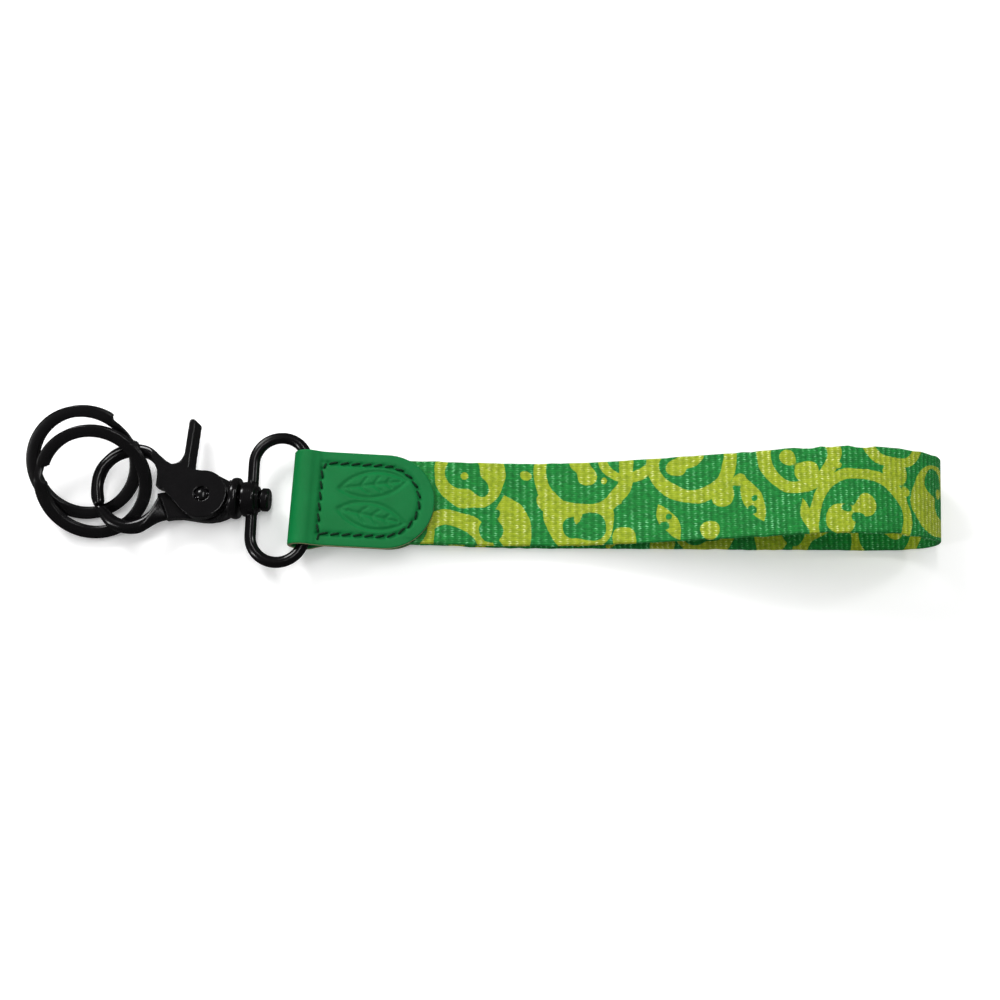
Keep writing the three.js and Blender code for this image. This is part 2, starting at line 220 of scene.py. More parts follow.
# ---- Material tools -----------------------------------------------------------------------
class Nodes:
    """Builds a material's node tree from short expressions."""

    def __init__(self, name):
        self.material = bpy.data.materials.new(name)
        self.material.use_nodes = True
        self.tree = self.material.node_tree
        self.shader = self.tree.nodes["Principled BSDF"]

    def link(self, value, socket):
        if isinstance(value, bpy.types.NodeSocket):
            self.tree.links.new(value, socket)
        else:
            socket.default_value = value

    def math(self, operation, *values, clamp=False):
        node = self.tree.nodes.new("ShaderNodeMath")
        node.operation = operation
        node.use_clamp = clamp
        for value, socket in zip(values, node.inputs):
            self.link(value, socket)
        return node.outputs[0]

    def vector(self, operation, *values):
        node = self.tree.nodes.new("ShaderNodeVectorMath")
        node.operation = operation
        for value, socket in zip(values, node.inputs):
            self.link(value, socket)
        return node.outputs["Value" if operation in ("DISTANCE", "LENGTH", "DOT_PRODUCT") else "Vector"]

    def scaled(self, coordinates, x, y, z):
        return self.vector("MULTIPLY", coordinates, (x, y, z))

    def ramp(self, value, low, high, out_low=0.0, out_high=1.0):
        node = self.tree.nodes.new("ShaderNodeMapRange")
        node.interpolation_type = "SMOOTHSTEP"
        for socket, x in zip(node.inputs, (value, low, high, out_low, out_high)):
            self.link(x, socket)
        return node.outputs[0]

    def noise(self, coordinates, scale, detail=3.0, roughness=0.5):
        node = self.tree.nodes.new("ShaderNodeTexNoise")
        self.link(coordinates, node.inputs["Vector"])
        node.inputs["Scale"].default_value = scale
        node.inputs["Detail"].default_value = detail
        node.inputs["Roughness"].default_value = roughness
        return node.outputs["Fac"]

    def noise_vector(self, coordinates, scale, detail=2.0):
        node = self.tree.nodes.new("ShaderNodeTexNoise")
        self.link(coordinates, node.inputs["Vector"])
        node.inputs["Scale"].default_value = scale
        node.inputs["Detail"].default_value = detail
        return node.outputs["Color"]

    def cell_edges(self, coordinates, scale):
        """The distance to the nearest border between random cells."""
        node = self.tree.nodes.new("ShaderNodeTexVoronoi")
        node.feature = "DISTANCE_TO_EDGE"
        self.link(coordinates, node.inputs["Vector"])
        node.inputs["Scale"].default_value = scale
        return node.outputs["Distance"]

    def mix(self, amount, a, b):
        node = self.tree.nodes.new("ShaderNodeMix")
        node.data_type = "RGBA"
        self.link(amount, node.inputs["Factor"])
        self.link(a, node.inputs["A"])
        self.link(b, node.inputs["B"])
        return node.outputs["Result"]

    def bump(self, height, depth):
        """Height in units of depth, which is in millimetres."""
        node = self.tree.nodes.new("ShaderNodeBump")
        node.inputs["Distance"].default_value = depth * MM
        self.link(height, node.inputs["Height"])
        return node.outputs["Normal"]

    def object_mm(self):
        """The point on the object, in millimetres."""
        node = self.tree.nodes.new("ShaderNodeTexCoord")
        return self.scaled(node.outputs["Object"], 1000, 1000, 1000)

    def uv(self, name):
        """A UV map's coordinates, stored in tenths of metres, in millimetres."""
        node = self.tree.nodes.new("ShaderNodeUVMap")
        node.uv_map = name
        return self.scaled(node.outputs["UV"], 100, 100, 0)

    def split(self, coordinates):
        node = self.tree.nodes.new("ShaderNodeSeparateXYZ")
        self.link(coordinates, node.inputs[0])
        return node.outputs[0], node.outputs[1], node.outputs[2]

    def wave(self, value):
        """1 at whole numbers and 0 half-way between them."""
        turn = self.math("MULTIPLY", value, 2 * math.pi)
        return self.math("MULTIPLY_ADD", self.math("COSINE", turn), 0.5, 0.5)

    def random(self, a, b):
        """A random number from 0 to 1 for each pair of values."""
        pair = self.tree.nodes.new("ShaderNodeCombineXYZ")
        self.link(a, pair.inputs[0])
        self.link(b, pair.inputs[1])
        node = self.tree.nodes.new("ShaderNodeTexWhiteNoise")
        node.noise_dimensions = "2D"
        self.link(pair.outputs[0], node.inputs["Vector"])
        return node.outputs["Value"]

    def edges(self):
        """How sharply the surface turns outwards, 0.5 where it is flat."""
        return self.tree.nodes.new("ShaderNodeNewGeometry").outputs["Pointiness"]

    def finish(self, colour, roughness, normal, **constants):
        self.link(colour, self.shader.inputs["Base Color"])
        self.link(roughness, self.shader.inputs["Roughness"])
        self.link(normal, self.shader.inputs["Normal"])
        for name, value in constants.items():
            self.shader.inputs[name.replace("_", " ")].default_value = value
        return self.material


def set_uv(obj, values, name):
    """Gives each vertex a UV in millimetres."""
    layer = obj.data.uv_layers.new(name=name)
    index = np.empty(len(obj.data.loops), np.int32)
    obj.data.loops.foreach_get("vertex_index", index)
    layer.data.foreach_set("uv", (np.asarray(values, float)[index] / 100).ravel())


# ---- Materials ----------------------------------------------------------------------------
# The two darker colours below are both the weave's own darker tone and the painted shade in its grooves.
GREEN = (0.007, 0.255, 0.036, 1)
DEEP_GREEN = (0.001, 0.085, 0.012, 1)
YELLOW = (0.385, 0.475, 0.017, 1)
DEEP_YELLOW = (0.135, 0.210, 0.005, 1)

# The print, as (kind, colour, centre along, centre across, sizes...), millimetres from the tab.
PRINT = [
    ("ring", 1, 4.0, -16.6, 12.0, 4.6), ("disc", 1, 10.2, 8.8, 10.6),
    ("drop", 0, 8.2, 9.6, 5.4, 13.2, 4.8, 2.6), ("disc", 1, 8.4, 8.0, 1.2),
    ("leaf", 1, 16.4, -8.6, 12.0, 30.2, -4.8, 12.4), ("drop", 0, 16.6, -8.0, 3.4, 18.4, -2.8, 1.2),
    ("ring", 1, 43.8, 9.8, 12.9, 4.2), ("drop", 1, 26.6, 8.6, 1.6, 33.4, 0.6, 3.4),
    ("drop", 1, 35.0, -3.0, 3.4, 43.0, -5.2, 9.8), ("disc", 0, 43.8, 10.2, 10.9),
    ("drop", 0, 40.4, -7.4, 3.0, 46.0, -7.4, 4.2), ("leaf", 1, 40.0, -3.4, 3.6, 44.6, -4.8, 3.4),
    ("drop", 1, 42.4, 12.4, 2.8, 44.8, 8.2, 2.6), ("disc", 1, 49.8, 6.6, 1.0),
    ("drop", 1, 55.4, -11.2, 3.6, 53.8, 0.2, 1.4), ("ring", 1, 57.4, 15.6, 8.6, 2.8),
    ("leaf", 1, 62.0, -10.6, 9.6, 75.0, -3.0, 10.0), ("drop", 0, 67.0, -8.0, 1.1, 68.6, -5.2, 0.7),
    ("ring", 1, 75.4, 11.2, 11.0, 3.9), ("drop", 1, 70.8, 9.0, 2.6, 75.4, 13.0, 3.6),
    ("drop", 1, 83.8, 0.4, 3.2, 80.0, -9.6, 2.6), ("drop", 1, 88.6, 4.2, 1.8, 83.8, 2.0, 2.4),
    ("leaf", 1, 84.6, -5.0, 11.0, 99.8, 1.6, 11.2), ("drop", 0, 91.6, -4.6, 1.4, 92.8, -0.8, 0.8),
    ("ring", 1, 105.0, 10.6, 9.6, 3.6), ("drop", 1, 102.2, 10.0, 2.4, 107.4, 5.4, 3.2),
    ("ring", 1, 121.6, -9.0, 13.5, 2.9), ("drop", 1, 115.6, -8.6, 4.4, 122.6, -4.6, 3.2),
    ("drop", 0, 117.2, -5.4, 1.2, 120.4, -8.2, 1.6), ("leaf", 1, 98.0, -10.0, 10.4, 115.2, -5.4, 10.4),
    ("drop", 1, 112.8, 3.8, 1.6, 115.8, 6.4, 0.9), ("ring", 1, 131.6, 16.0, 8.2, 2.9),
    ("drop", 1, 131.4, 5.0, 3.4, 134.4, -0.4, 1.4), ("disc", 1, 147.0, -1.4, 10.6),
    ("drop", 0, 145.6, 4.0, 4.0, 149.6, -2.8, 3.4), ("disc", 1, 148.2, 1.0, 1.4),
    ("drop", 1, 159.0, 8.0, 3.2, 163.0, 3.0, 4.0), ("ring", 1, 170.0, -7.0, 9.6, 3.6),
    ("drop", 1, 167.0, -6.6, 2.6, 171.6, -4.0, 3.2),
]
PRINT_REPEAT = 180.0


def webbing_material():
    n = Nodes("printed_webbing")
    st = n.uv("weave")
    along, across, _ = n.split(st)
    flow = n.vector("SUBTRACT", n.noise_vector(st, 0.16, 0.0), (0.5, 0.5, 0.5))
    fray = n.vector("SUBTRACT", n.noise_vector(n.scaled(st, 1, 2.4, 1), 1.1), (0.5, 0.5, 0.5))
    wobble = n.vector("ADD", n.scaled(flow, 1.7, 1.7, 0), n.scaled(fray, 0.45, 0.3, 0))
    drawn = n.vector("ADD", st, wobble)
    u, v, _ = n.split(drawn)
    combine = n.tree.nodes.new("ShaderNodeCombineXYZ")
    n.link(n.math("WRAP", u, PRINT_REPEAT, 0.0), combine.inputs[0])
    n.link(v, combine.inputs[1])
    here = combine.outputs[0]

    def disc(x, y, r):
        return n.math("SUBTRACT", n.vector("DISTANCE", here, (x, y, 0)), r)

    edge = 5.0
    for kind, yellow, x, y, *sizes in PRINT:
        if kind == "ring":
            radius, width = sizes
            shape = n.math("SUBTRACT", n.math("ABSOLUTE", disc(x, y, radius)), width / 2)
        elif kind == "disc":
            shape = disc(x, y, sizes[0])
        elif kind == "leaf":
            r, x2, y2, r2 = sizes
            shape = n.math("MAXIMUM", disc(x, y, r), disc(x2, y2, r2))
        else:
            r, x2, y2, r2 = sizes
            shape = n.math("SMOOTH_MIN", disc(x, y, r), disc(x2, y2, r2), 4.0)
        if yellow:
            edge = n.math("MINIMUM", edge, shape)
        else:
            edge = n.math("MAXIMUM", edge, n.math("MULTIPLY", shape, -1.0))
    ink = n.ramp(edge, -0.12, 0.12, 1.0, 0.0)

    count, _, _ = n.split(n.uv("ribs"))
    wander = n.math("MULTIPLY", n.math("SUBTRACT", n.noise(st, 0.5), 0.5), 0.16)
    column = n.math("ADD", count, wander)
    row = n.math("DIVIDE", across, 0.60)
    step = n.math("SUBTRACT", n.math("PINGPONG", n.math("FLOOR", row), 1.0), 0.5)
    zigzag = n.math("MULTIPLY_ADD", step, 0.14, column)
    rib = n.wave(column)
    yarn = n.wave(row)
    # Painted glints: short bright dashes on the yarn crests, some brighter at random, stand in for light
    # caught by the weave.
    spark = n.math("MULTIPLY", n.math("POWER", n.wave(zigzag), 5.0), n.math("POWER", yarn, 1.2))
    glint_cell = [n.math("FLOOR", n.math("ADD", x, 0.5)) for x in (zigzag, row)]
    chance = n.math("POWER", n.random(*glint_cell), 1.7)
    patch = n.ramp(n.noise(st, 0.11, 1.0), 0.35, 0.65, 0.35, 1.0)
    strength = n.math("MULTIPLY_ADD", chance, 1.4, 0.08)
    painted_glint = n.math("MULTIPLY", n.math("MULTIPLY", spark, patch), strength, clamp=True)
    fibre = n.noise(n.scaled(st, 1.4, 9.0, 1), 2.2, 2.0)
    half_rib = n.math("FLOOR", n.math("MULTIPLY", zigzag, 2.0))
    tone = n.random(half_rib, n.math("FLOOR", n.math("ADD", row, 31.5)))
    # The rib and yarn waves paint shade into the grooves between ribs and between yarns; the fibre noise
    # and the random tone are the cloth's own uneven colour.
    shade = n.math("MULTIPLY_ADD", rib, 0.20, n.math("MULTIPLY_ADD", fibre, 0.70, -0.24))
    shade = n.math("MULTIPLY_ADD", tone, 0.46, n.math("MULTIPLY_ADD", yarn, 0.24, shade), clamp=True)
    green = n.mix(shade, DEEP_GREEN, GREEN)
    yellow = n.mix(shade, DEEP_YELLOW, YELLOW)
    cloth = n.mix(ink, green, yellow)
    # The painted glint colours: light green over the green cloth, pale yellow over the yellow print.
    glint = n.mix(ink, (0.24, 0.74, 0.34, 1), (0.86, 0.92, 0.38, 1))
    colour = n.mix(painted_glint, cloth, glint)
    height = n.math("ADD", n.math("MULTIPLY", spark, 0.5), n.math("MULTIPLY", yarn, 0.4))
    normal = n.bump(n.math("ADD", height, n.math("MULTIPLY", fibre, 0.4)), 0.10)
    rough = n.math("MULTIPLY_ADD", fibre, 0.16, 0.46)
    return n.finish(colour, rough, normal, Specular_IOR_Level=0.22, Sheen_Weight=0.02, Sheen_Roughness=0.4)


def leather_material():
    n = Nodes("green_leather")
    p = n.object_mm()
    cloudy = n.noise(p, 0.12, 3.0)
    pores = n.cell_edges(p, 2.6)
    grain = n.noise(p, 5.0, 4.0, 0.6)
    base = n.mix(cloudy, (0.0008, 0.128, 0.027, 1), (0.0020, 0.178, 0.043, 1))
    dark = n.ramp(pores, 0.0, 0.10, 0.22, 0.0)
    colour = n.mix(dark, base, (0.004, 0.10, 0.026, 1))
    # Painted highlight: a lighter green along sharp outward edges, the tab's rims and the edges of the
    # pressed leaves.
    painted_edge_highlight = n.ramp(n.edges(), 0.53, 0.60, 0.0, 0.35)
    colour = n.mix(painted_edge_highlight, colour, (0.05, 0.36, 0.13, 1))
    height = n.math("ADD", n.ramp(pores, 0.0, 0.16), n.math("MULTIPLY", grain, 0.8))
    rough = n.math("MULTIPLY_ADD", grain, 0.22, 0.36)
    return n.finish(colour, rough, n.bump(height, 0.016), Specular_IOR_Level=0.16)


def leather_edge_material():
    n = Nodes("leather_cut_edge")
    p = n.object_mm()
    fibres = n.noise(n.scaled(p, 1, 1, 5), 2.4, 4.0, 0.65)
    colour = n.mix(fibres, (0.10, 0.13, 0.045, 1), (0.36, 0.31, 0.17, 1))
    return n.finish(colour, n.math("MULTIPLY_ADD", fibres, 0.2, 0.7), n.bump(fibres, 0.12))


def thread_material():
    n = Nodes("seam_thread")
    p = n.object_mm()
    x, y, _ = n.split(p)
    twist = n.math("MULTIPLY_ADD", n.math("SINE", n.math("MULTIPLY", n.math("ADD", x, y), 13.0)), 0.5, 0.5)
    fuzz = n.noise(p, 6.0, 3.0)
    colour = n.mix(n.math("MULTIPLY", twist, fuzz), (0.0006, 0.012, 0.004, 1), (0.006, 0.085, 0.026, 1))
    return n.finish(colour, n.math("MULTIPLY_ADD", fuzz, 0.2, 0.4), n.bump(twist, 0.09),
                    Specular_IOR_Level=0.25)


def black_material(name, roughness, waviness, streaks=(1, 1, 1)):
    """Black plating: nearly black, faintly uneven, a little brighter where edges are rubbed."""
    n = Nodes(name)
    p = n.object_mm()
    smoke = n.noise(p, 0.35, 3.0)
    speck = n.noise(n.scaled(p, *streaks), 6.0, 4.0, 0.7)
    base = n.mix(smoke, (0.0016, 0.0015, 0.0018, 1), (0.0042, 0.0038, 0.0043, 1))
    rubbed = n.math("MULTIPLY", n.ramp(n.edges(), 0.54, 0.64, 0.0, 0.5), n.ramp(speck, 0.35, 0.7))
    colour = n.mix(rubbed, base, (0.030, 0.028, 0.030, 1))
    rough = n.math("MULTIPLY_ADD", speck, 0.10, roughness)
    height = n.math("ADD", n.math("MULTIPLY", speck, 0.06), n.noise(p, 0.5, 1.0))
    return n.finish(colour, rough, n.bump(height, waviness), Specular_IOR_Level=0.4)


def spring_material():
    n = Nodes("drawn_spring_wire")
    p = n.object_mm()
    lines = n.noise(n.scaled(p, 1, 1, 6), 3.0, 3.0)
    colour = n.mix(lines, (0.30, 0.30, 0.31, 1), (0.52, 0.52, 0.54, 1))
    return n.finish(colour, n.math("MULTIPLY_ADD", lines, 0.2, 0.25), n.bump(lines, 0.02), Metallic=1.0)


def floor_material():
    n = Nodes("white_surface")
    p = n.object_mm()
    cloud = n.noise(p, 0.004, 2.0)
    colour = n.mix(cloud, (0.93, 0.93, 0.93, 1), (0.95, 0.95, 0.95, 1))
    rough = n.math("MULTIPLY_ADD", cloud, 0.1, 0.8)
    # The floor glows faintly. This is painted light, and it lightens the shadows cast on the floor.
    return n.finish(colour, rough, n.bump(cloud, 0.01), Emission_Color=(1, 1, 1, 1), Emission_Strength=0.2)


WEBBING = webbing_material()
LEATHER = leather_material()
LEATHER_EDGE = leather_edge_material()
THREAD = thread_material()
CAST_BLACK = black_material("black_cast_metal", 0.14, 0.03)
PIN_BLACK = black_material("black_turned_metal", 0.15, 0.012, (6, 1, 1))
RING_BLACK = black_material("black_ring_wire", 0.20, 0.02)


# ---- Frames of the groups ------------------------------------------------------------------
def placed(origin, *turns):
    matrix = Matrix.Translation(origin)
    for degrees, axis in turns:
        matrix = matrix @ Matrix.Rotation(math.radians(degrees), 4, axis)
    return matrix


TAB = placed(BAR, (-2.4, "Z"), (math.degrees(TAB_SLOPE), "Y"))
HOOK = placed((-86.4, -0.75, 6.2), (-3, "Z"), (-4, "X"))
OVAL = placed((-64.3, -1.54, 6.2))


# ---- Webbing hand loop ---------------------------------------------------------------------
def webbing_line():
    """The webbing's mid-line as (x, z), even steps, from the tab over the crest and back."""
    def stack(x):
        return 6.2 - (x - BAR.x) * math.tan(TAB_SLOPE)

    tip, layer, flat = BAR.x + TAB_REACH, (GAP + CAD_WEB_THICK) / 2, 0.66
    end = tip - WEB_TUCK
    upper = catmull([(tip, stack(tip) + layer), (-6, 4), (8, 3.5), (22, 4.5), (36, 7), (50, 10.6),
                     (64, 14.2), (78, 18.2), (89, 21.1), (98.5, 22.2), (109, 21.2), (118.5, 18),
                     (125.2, 13.2), (127.6, 8.8), (125.3, 4.2), (119, 1.5), (109, flat)])
    lower = catmull([(4, flat), (-6, 1.3), (-13, 2.6), (tip, stack(tip) - layer)])
    line = np.vstack([[(end, stack(end) + layer)], upper, lower, [(end, stack(end) - layer)]])
    line[:, 0] -= 0.045 * np.maximum(line[:, 0] - 100, 0)
    return spaced(line, step=WEB_STEP)


def webbing():
    line, s = webbing_line()
    normal = side_of(line)
    rng = np.random.default_rng(7)
    knots = rng.normal(0, 1, (2, 150))
    pull = 0.07 + 0.16 * np.exp(-((s - 152) / 24) ** 2)
    edge_wander = [np.interp(s, np.linspace(0, s[-1], 150), k) * pull for k in knots]
    columns = np.linspace(-1, 1, 27)
    round_edge = [(0.0, 1.0), (0.7, 0.72), (1.0, 0.0), (0.7, -0.72)]
    half, thick = WEB_WIDTH / 2, WEB_THICK / 2
    blend = np.clip((s - 80) / 60, 0, 1)
    period = 2.1 - 0.55 * blend * blend * (3 - 2 * blend)
    count = np.cumsum(WEB_STEP / period)
    rib = np.abs(np.cos(math.pi * count)) ** 0.8 * 0.14 - 0.10
    rings, uv, ribs = [], [], []
    for i in range(len(s)):
        low = -half + WEB_EDGE + edge_wander[0][i]
        high = half - WEB_EDGE + edge_wander[1][i]
        wide = (low + high) / 2 + columns * (high - low) / 2
        top, under = thick + rib[i], -thick - rib[i]
        section = [(y, top) for y in wide]
        section += [(high + WEB_EDGE * a, b * thick) for a, b in round_edge[1:]]
        section += [(y, under) for y in wide[::-1]]
        section += [(low - WEB_EDGE * a, -b * thick) for a, b in round_edge[1:]]
        x, z = line[i]
        nx, nz = normal[i]
        lean = 0.085 * np.clip((x - 92) / 30, 0, 1)
        rings.append([(x + nx * h + lean * y, y, z + nz * h) for y, h in section])
        uv += [(s[i] - WEB_TUCK, y) for y, _ in section]
        ribs += [(count[i], y) for y, _ in section]
    verts, faces = loft(rings)
    middle = BAR.x + TAB_REACH / 2
    turn = placed((middle, BAR.y - 0.49, 0), (-0.4, "Z")) @ Matrix.Translation((-middle, 0, 0))
    strap = make("webbing_loop", verts, faces, "strap", "webbing_strap", WEBBING, turn)
    set_uv(strap, uv, "weave")
    set_uv(strap, ribs, "ribs")


# ---- Leather tab ---------------------------------------------------------------------------
SEAM_LEFT = 4.3
SEAM_HALF = TAB_WIDTH / 2 - 3.5
SEAM_BEND = TAB_REACH - 4.3 - SEAM_HALF
STITCH_PITCH = 3.3
THREAD_RADIUS = 0.33
THREAD_BULGE = 0.24
TAB_COLUMNS = 85
LOWER_LEAF_TRIM = 0.9


def seam_line():
    """The D of the seam in the tab's plane, as even points."""
    arc = [(SEAM_BEND + SEAM_HALF * math.sin(a), SEAM_HALF * math.cos(a))
           for a in np.linspace(0, math.pi, 60)]
    corners = [(SEAM_LEFT, -SEAM_HALF), (SEAM_LEFT, SEAM_HALF)]
    return spaced([*corners, *arc, corners[0]], step=0.2)


def stitch_holes():
    seam, s = seam_line()
    marks = np.linspace(0, s[-1], round(s[-1] / STITCH_PITCH) + 1)
    return np.stack([np.interp(marks, s, seam[:, k]) for k in (0, 1)], 1)


def leaf_motif(x, y):
    """Depth of two pressed leaves, each an outline with a middle vein and ribs, 0 to 1."""
    depth = np.zeros_like(y)
    for lean, away in ((1, 4.7), (-1, -4.7)):
        u = (x - 19.3) * 0.985 + lean * (y - away) * 0.17
        v = (y - away) - lean * (x - 19.3) * 0.17
        blade = np.maximum(np.hypot(u, v - 10.2), np.hypot(u, v + 10.2)) - 14.1
        outline = np.exp(-(blade / 0.5) ** 2)
        vein = np.exp(-(v / 0.42) ** 2) * (np.abs(u + 1.0) < 9.0)
        slant = np.abs(v) - 1.1 * (np.mod(u + 8.0, 3.8) - 0.4)
        ribs = np.exp(-(slant / 0.45) ** 2) * (blade < -1.2)
        depth = np.maximum(depth, np.clip(outline + vein + ribs, 0, 1))
    return depth


def nearest(points, x, y):
    """How far each (x, y) of one row is from the closest of the points."""
    return np.sqrt(((points[None, :, 0] - x) ** 2 + (points[None, :, 1] - y[:, None]) ** 2).min(1))


def leather_tab():
    leaf = STACK_HALF + LEATHER_THICK / 2
    roll = FOLD_INNER + LEATHER_THICK / 2
    side = [(TAB_REACH, leaf), (30, leaf), (20, leaf), (10, leaf), (6.5, leaf), (4.6, leaf + 0.1),
            (3.2, leaf + 0.42)]
    arc = [(roll * math.cos(math.radians(a)), roll * math.sin(math.radians(a)))
           for a in range(60, 301, 15)]
    line, s = spaced(catmull([*side, *arc, *[(x, -z) for x, z in side[::-1]]]), step=0.33)
    normal = -side_of(line)
    seam, _ = seam_line()
    holes = stitch_holes()
    round_at = TAB_REACH - TAB_WIDTH / 2
    columns = np.sin(np.linspace(-math.pi / 2, math.pi / 2, TAB_COLUMNS) * 0.985)
    columns = 0.55 * columns / columns[-1] + 0.45 * np.linspace(-1, 1, TAB_COLUMNS)
    edge = 0.45
    rings, widths = [], []
    for (x, z), (nx, nz) in zip(line, normal):
        past = np.clip((x - round_at) / (TAB_WIDTH / 2), 0, 0.9995)
        half = TAB_WIDTH / 2 * math.sqrt(1 - past**2)
        if z < 0:
            half -= LOWER_LEAF_TRIM * np.clip((x - 2) / 4, 0, 1) * (1 - 0.9 * past)
        thick = LEATHER_THICK / 2 * (1 if past < 0.985 else 0.72)
        widths.append(2 * half)
        flat = max(half - edge, 0.02)
        y = columns * flat
        outer = np.full(TAB_COLUMNS, thick)
        if x > 3.2 and z > 0:
            to_seam = nearest(seam, x, y)
            inside = (x > SEAM_LEFT) & (np.abs(y) < SEAM_HALF)
            outer = outer - 0.34 * np.exp(-(to_seam / 0.8) ** 2)
            to_hole = nearest(holes, x, y)
            outer = outer - 0.40 * np.exp(-(to_hole / 0.5) ** 2)
            outer = outer + 0.16 * inside * (1 - np.exp(-(to_seam / 3.0) ** 2))
            outer = outer - 0.44 * leaf_motif(x, y)
            outer = outer - 0.20 * (np.abs(y) / half) ** 8
        section = [(a, b) for a, b in zip(y, outer)]
        lip = min(edge, half * 0.5)
        section += [(flat + lip * 0.75, outer[-1] * 0.72), (flat + lip, 0),
                    (flat + lip * 0.75, -thick * 0.72)]
        section += [(a, -thick) for a in y[::-1]]
        section += [(-flat - lip * 0.75, -thick * 0.72), (-flat - lip, 0),
                    (-flat - lip * 0.75, outer[0] * 0.72)]
        rings.append([(x + nx * h, a, z + nz * h) for a, h in section])
    verts, faces = loft(rings)
    tab = make("leather_tab_folded", verts, faces, "strap", "leather_tab", LEATHER, TAB)
    tab.data.materials.append(LEATHER_EDGE)
    size = len(rings[0])
    cut = {TAB_COLUMNS, TAB_COLUMNS + 1, size - 3, size - 2}
    index = [1 if face % size in cut else 0 for face in range(len(faces) - 2)] + [1, 1]
    tab.data.polygons.foreach_set("material_index", index)


def stitch(start, end, height, up):
    """One thread span between two holes: a bowed round tube that dives at both ends."""
    start, end = np.array(start), np.array(end)
    rings = []
    for t in np.linspace(0, 1, 11):
        x, y = start + (end - start) * t
        lift = THREAD_BULGE * math.sin(math.pi * t) ** 0.7 - 0.5 * (abs(2 * t - 1) ** 6)
        r = THREAD_RADIUS * (1 - 0.35 * abs(2 * t - 1) ** 4)
        along = (end - start) / np.linalg.norm(end - start)
        side = np.array([-along[1], along[0]])
        rings.append([(x + side[0] * r * a, y + side[1] * r * a, up * (height + lift + r * b))
                      for a, b in circle(10)])
    return loft(rings)


def stitches(name, node, up):
    holes = stitch_holes()
    height = STACK_HALF + LEATHER_THICK - 0.16
    parts = []
    for a, b in zip(holes[:-1], holes[1:]):
        run = (b - a) / np.linalg.norm(b - a)
        slant = np.array([-run[1], run[0]]) * 0.34
        parts.append(stitch(a + run * 0.20 - slant, b - run * 0.42 + slant, height, up))
    tack = holes[0]
    tail = 2.3 if up > 0 else 1.1
    parts.append(stitch(tack + (0.5, 0), tack + (0.2, -tail), height, up))
    verts, faces = join(parts)
    make(name, verts, faces, "strap", node, THREAD, TAB)


# ---- Oval ring -----------------------------------------------------------------------------
def oval_ring():
    bend, half, radius = 7.85, 10.9, 1.65
    right = [(bend * math.cos(a), half + bend * math.sin(a)) for a in np.linspace(0, math.pi, 40)]
    left = [(-x, -y) for x, y in right]
    line, _ = spaced([*right, *left, right[0]], step=0.5)
    line = line[:-1]
    normal = side_of(np.vstack([line[-1:], line, line[:1]]))[1:-1]
    rings = [[(x + nx * a, y + ny * a, b) for a, b in circle(24, radius)]
             for (x, y), (nx, ny) in zip(line, normal)]
    wire = loft(rings, wrap=True)
    start, end, outer, bore = -10.75, -5.55, 5.1, 2.6
    barrel = lathe([(bore, start), (outer - 0.7, start), (outer - 0.12, start + 0.35),
                    (outer, start + 1.0), (outer, end - 1.5), (outer - 0.3, end - 1.1),
                    (outer - 1.15, end - 0.9), (outer - 1.35, end - 0.2), (outer - 1.7, end),
                    (bore, end)], "x")
    cast("oval_ring_cast", [trim_bar(wire, bore), barrel], "eye", "oval_ring", OVAL)


def trim_bar(wire, bore):
    """Leaves out the stretch of bar that would cross the bore."""
    verts, faces = wire
    centre = verts.mean(0)
    clear = {i for i, v in enumerate(verts) if v[0] < 0 and abs(v[1]) < bore + 0.6}
    kept = [f for f in faces if not any(i in clear for i in f)]
    rim = {}
    for face in kept:
        for a, b in zip(face, face[1:] + face[:1]):
            rim[(a, b)] = 1
    open_edges = {a: b for a, b in rim if (b, a) not in rim}
    while open_edges:
        a, b = open_edges.popitem()
        loop = [a]
        while b != loop[0]:
            loop.append(b)
            b = open_edges.pop(b)
        kept.append(tuple(loop[::-1]))
    return verts, kept


# ---- Trigger hook --------------------------------------------------------------------------
UPPER_OUTER = [(-31.4, -4.6), (-32.6, -1.8), (-33.1, 1.5), (-33.1, 5.1), (-32.2, 8.3), (-30.4, 11),
               (-28.1, 13.4), (-25.4, 14.7), (-22.8, 15), (-20.6, 15), (-17.7, 14.2), (-15.2, 12.6),
               (-13.4, 11), (-11.6, 9.5)]
UPPER_INNER = [(-28.5, -3.7), (-28.9, -1.6), (-29.5, 0.7), (-29.7, 2.6), (-29.4, 5), (-28.7, 7.2),
               (-27.2, 9.2), (-25.1, 10.6), (-22.3, 11.3), (-19.1, 11), (-17.1, 10.3), (-15, 8.5),
               (-13.8, 6.3), (-13.2, 4.2)]
LOWER_OUTER = [(-31.3, -5.0), (-29.3, -7.6), (-27.1, -10), (-25.1, -11.3), (-22.3, -12.2),
               (-19.4, -12.4), (-16.8, -11.9), (-14.6, -10.3), (-12.2, -8.3), (-9.6, -7.0)]
LOWER_INNER = [(-27.9, -4.6), (-26, -6.2), (-24, -7.5), (-21.9, -8.2), (-20, -8.5), (-17.9, -7.7),
               (-16.1, -6.4), (-14.6, -4.7), (-13.8, -2.3), (-13.2, 0.2)]


